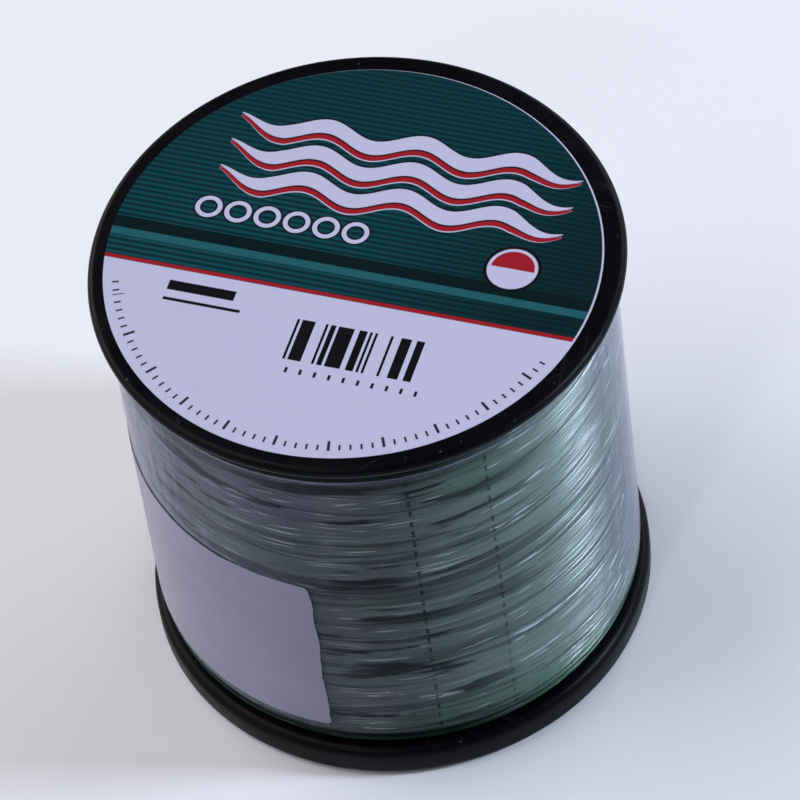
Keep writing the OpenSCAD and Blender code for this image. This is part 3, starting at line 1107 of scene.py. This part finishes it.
class SPOOL_OT_side_sticker(Operator):
    """Models the paper sticker, with its wavy edges"""

    bl_idname = "spool.side_sticker"
    bl_label = "Side Sticker"

    def execute(self, context):
        s = context.scene.spool_wraps
        gap = 0.01 * MM
        radius = s.film_radius + s.film + gap
        foot, head = low("side_sticker").z, high("side_sticker").z
        tall, long = head - foot, s.sticker_length

        fringe = 6 * MM
        inset = 0.4  # millimetres that the worn edges stay within

        def shape(x, y):
            """Tears the edge by the strip a little and waves the upper edge."""
            near_end = max(0.0, 1 - (long - x) / fringe)
            near_top = max(0.0, 1 - (tall - y) / fringe)
            ragged = smooth_noise(y * 120, 3, 1) * 0.8 + smooth_noise(y * 620, 7, 2) * 0.22
            wavy = smooth_noise(x * 60, 9, 4) * 0.9 + smooth_noise(x * 210, 5, 6) * 0.35
            out = gap * near_end * (1 + smooth_noise(y * 200, 2, 2))
            out += gap * (1 + smooth_noise(x * 90, y * 90, 5))
            x += near_end * (ragged - inset) * MM
            y += near_top * (wavy - inset) * MM
            return x, y, out

        bm = bmesh.new()
        step = 1.2 * MM
        across, up = steps_between(0, long, step), steps_between(0, tall, step)
        flat_patch(bm, long, tall, s.sticker_corner, across, up)
        wrap_round(bm, radius, s.sticker_end - long / radius, foot, shape)
        thicken(bm, s.paper * 0.9)
        paper = sticker_paper(context.scene.spool_colours)
        piece_from(bm, "paper_side_sticker", ["side_sticker"], [paper])
        return {"FINISHED"}


class SPOOL_OT_face_label(Operator):
    """Models the round face label and its print"""

    bl_idname = "spool.face_label"
    bl_label = "Face Label"

    def execute(self, context):
        s = context.scene.spool_wraps
        colours = context.scene.spool_colours
        foot, head = low("face_label"), high("face_label")
        centre = ((foot.x + head.x) / 2, (foot.y + head.y) / 2, foot.z)
        bm = bmesh.new()
        bmesh.ops.create_circle(bm, cap_ends=True, radius=s.label_radius, segments=180)
        bmesh.ops.translate(bm, vec=centre, verts=bm.verts[:])
        made = bmesh.ops.extrude_face_region(bm, geom=bm.faces[:])["geom"]
        lifted = [v for v in made if isinstance(v, bmesh.types.BMVert)]
        bmesh.ops.translate(bm, vec=(0, 0, head.z - foot.z), verts=lifted)
        bmesh.ops.recalc_face_normals(bm, faces=bm.faces[:])
        for face in bm.faces:
            face.material_index = 0 if face.normal.z > 0.5 else 1
        prints = [label_print(colours, Vector(centre)), paper_edge(colours)]
        piece_from(bm, "round_face_label", ["face_label"], prints)
        return {"FINISHED"}


COOL = (0.93, 0.92, 1.0)
LIGHTS = (
    # name, azimuth, elevation, distance, size, energy, tint
    ("Light_right", -10, 30, 0.8, (0.13, 0.24), 4.7, (0.68, 0.79, 1.0)),
    ("Light_back_left", 136, 26, 1.6, (1.4, 0.7), 12.0, (1.0, 0.98, 0.97)),
    ("Light_back_right", 44, 26, 1.6, (1.4, 0.7), 8.0, (1.0, 0.97, 0.97)),
    ("Light_left_top", 178, 62, 0.9, (0.5, 0.5), 2.4, COOL),
    ("Light_left", 188, 30, 1.0, (0.8, 0.7), 1.8, COOL),
    ("Light_glints", 242, 46, 0.9, (0.06, 0.06), 0.6, COOL),
)


def area_light(name, azimuth, elevation, distance, size, energy, tint):
    """A rectangular light that faces the spool's middle."""
    light = bpy.data.lights.new(name, "AREA")
    light.shape = "RECTANGLE"
    light.size, light.size_y = size
    light.energy = energy
    light.color = tint
    lamp = linked(name, light)
    a, e = math.radians(azimuth), math.radians(elevation)
    way = Vector((math.cos(a) * math.cos(e), math.sin(a) * math.cos(e), math.sin(e)))
    lamp.location = way * distance + Vector((0, 0, 35 * MM))
    lamp.rotation_euler = way.to_track_quat("Z", "Y").to_euler()


class SPOOL_OT_stage(Operator):
    """Sets the floor, the lights and the camera"""

    bl_idname = "spool.stage"
    bl_label = "Stage"

    def execute(self, context):
        s = context.scene.spool_studio
        e, r = s.elevation, s.roll
        turned = Matrix(((math.cos(r), -math.sin(r)), (math.sin(r), math.cos(r))))
        flat = [(1, 0), (0, -math.sin(e)), (0, -math.cos(e))]
        ahead = [0, math.cos(e), -math.sin(e)]
        across, down = zip(*(turned @ Vector(v) for v in flat))
        right, down, ahead = Vector(across), Vector(down), Vector(ahead)
        spot = -(right * s.aside + down * s.below + ahead * s.distance)
        camera = bpy.data.cameras.new("Camera")
        camera.lens = s.lens
        camera.sensor_width = 36
        camera.clip_start, camera.clip_end = 0.01, 20
        holder = linked("Camera", camera)
        columns = Matrix((right, -down, -ahead)).transposed()
        holder.matrix_world = Matrix.Translation(spot) @ columns.to_4x4()
        context.scene.camera = holder

        bm = bmesh.new()
        bmesh.ops.create_circle(bm, cap_ends=True, radius=3.0, segments=96)
        mesh = bpy.data.meshes.new("studio_floor")
        bm.to_mesh(mesh)
        bm.free()
        mesh.materials.append(studio_floor())
        floor = linked("studio_floor", mesh)

        for light in LIGHTS:
            area_light(*light)

        world = bpy.data.worlds.new("Studio")
        context.scene.world = world
        world.use_nodes = True
        g = Graph(world.node_tree)
        up = g.axes(g.node("ShaderNodeTexCoord").outputs["Generated"])["Z"]
        sky = g.mix(g.span(up, 0.05, 0.6), (0.80, 0.79, 0.93), (0.05, 0.05, 0.06))
        g.fill(world.node_tree.nodes["Background"], {"Color": sky, "Strength": 0.23})
        context.scene.view_settings.view_transform = "Standard"
        return {"FINISHED"}


class SPOOL_PT_panel(Panel):
    """Lists the spool's pieces"""

    bl_idname = "SPOOL_PT_panel"
    bl_label = "Fishing Line Spool"
    bl_space_type = "VIEW_3D"
    bl_region_type = "UI"
    bl_category = "Spool"

    def draw(self, context):
        for step in STEPS:
            self.layout.operator(step.bl_idname)


STEPS = (
    SPOOL_OT_stage,
    SPOOL_OT_flanges,
    SPOOL_OT_hidden_core,
    SPOOL_OT_wound_line,
    SPOOL_OT_clear_band,
    SPOOL_OT_side_sticker,
    SPOOL_OT_face_label,
)
SETTINGS = {
    "spool_flanges": SpoolFlangeSizes,
    "spool_line": SpoolLineSizes,
    "spool_wraps": SpoolWrapSizes,
    "spool_colours": SpoolColours,
    "spool_studio": SpoolStudio,
}


def register():
    for kind in (*SETTINGS.values(), *STEPS, SPOOL_PT_panel):
        bpy.utils.register_class(kind)
    for name, kind in SETTINGS.items():
        setattr(bpy.types.Scene, name, PointerProperty(type=kind))


def unregister():
    for name in SETTINGS:
        delattr(bpy.types.Scene, name)
    for kind in (SPOOL_PT_panel, *reversed(STEPS), *reversed(SETTINGS.values())):
        bpy.utils.unregister_class(kind)


def main():
    register()
    for step in STEPS:
        group, name = step.bl_idname.split(".")
        getattr(getattr(bpy.ops, group), name)()


if __name__ == "__main__":
    main()
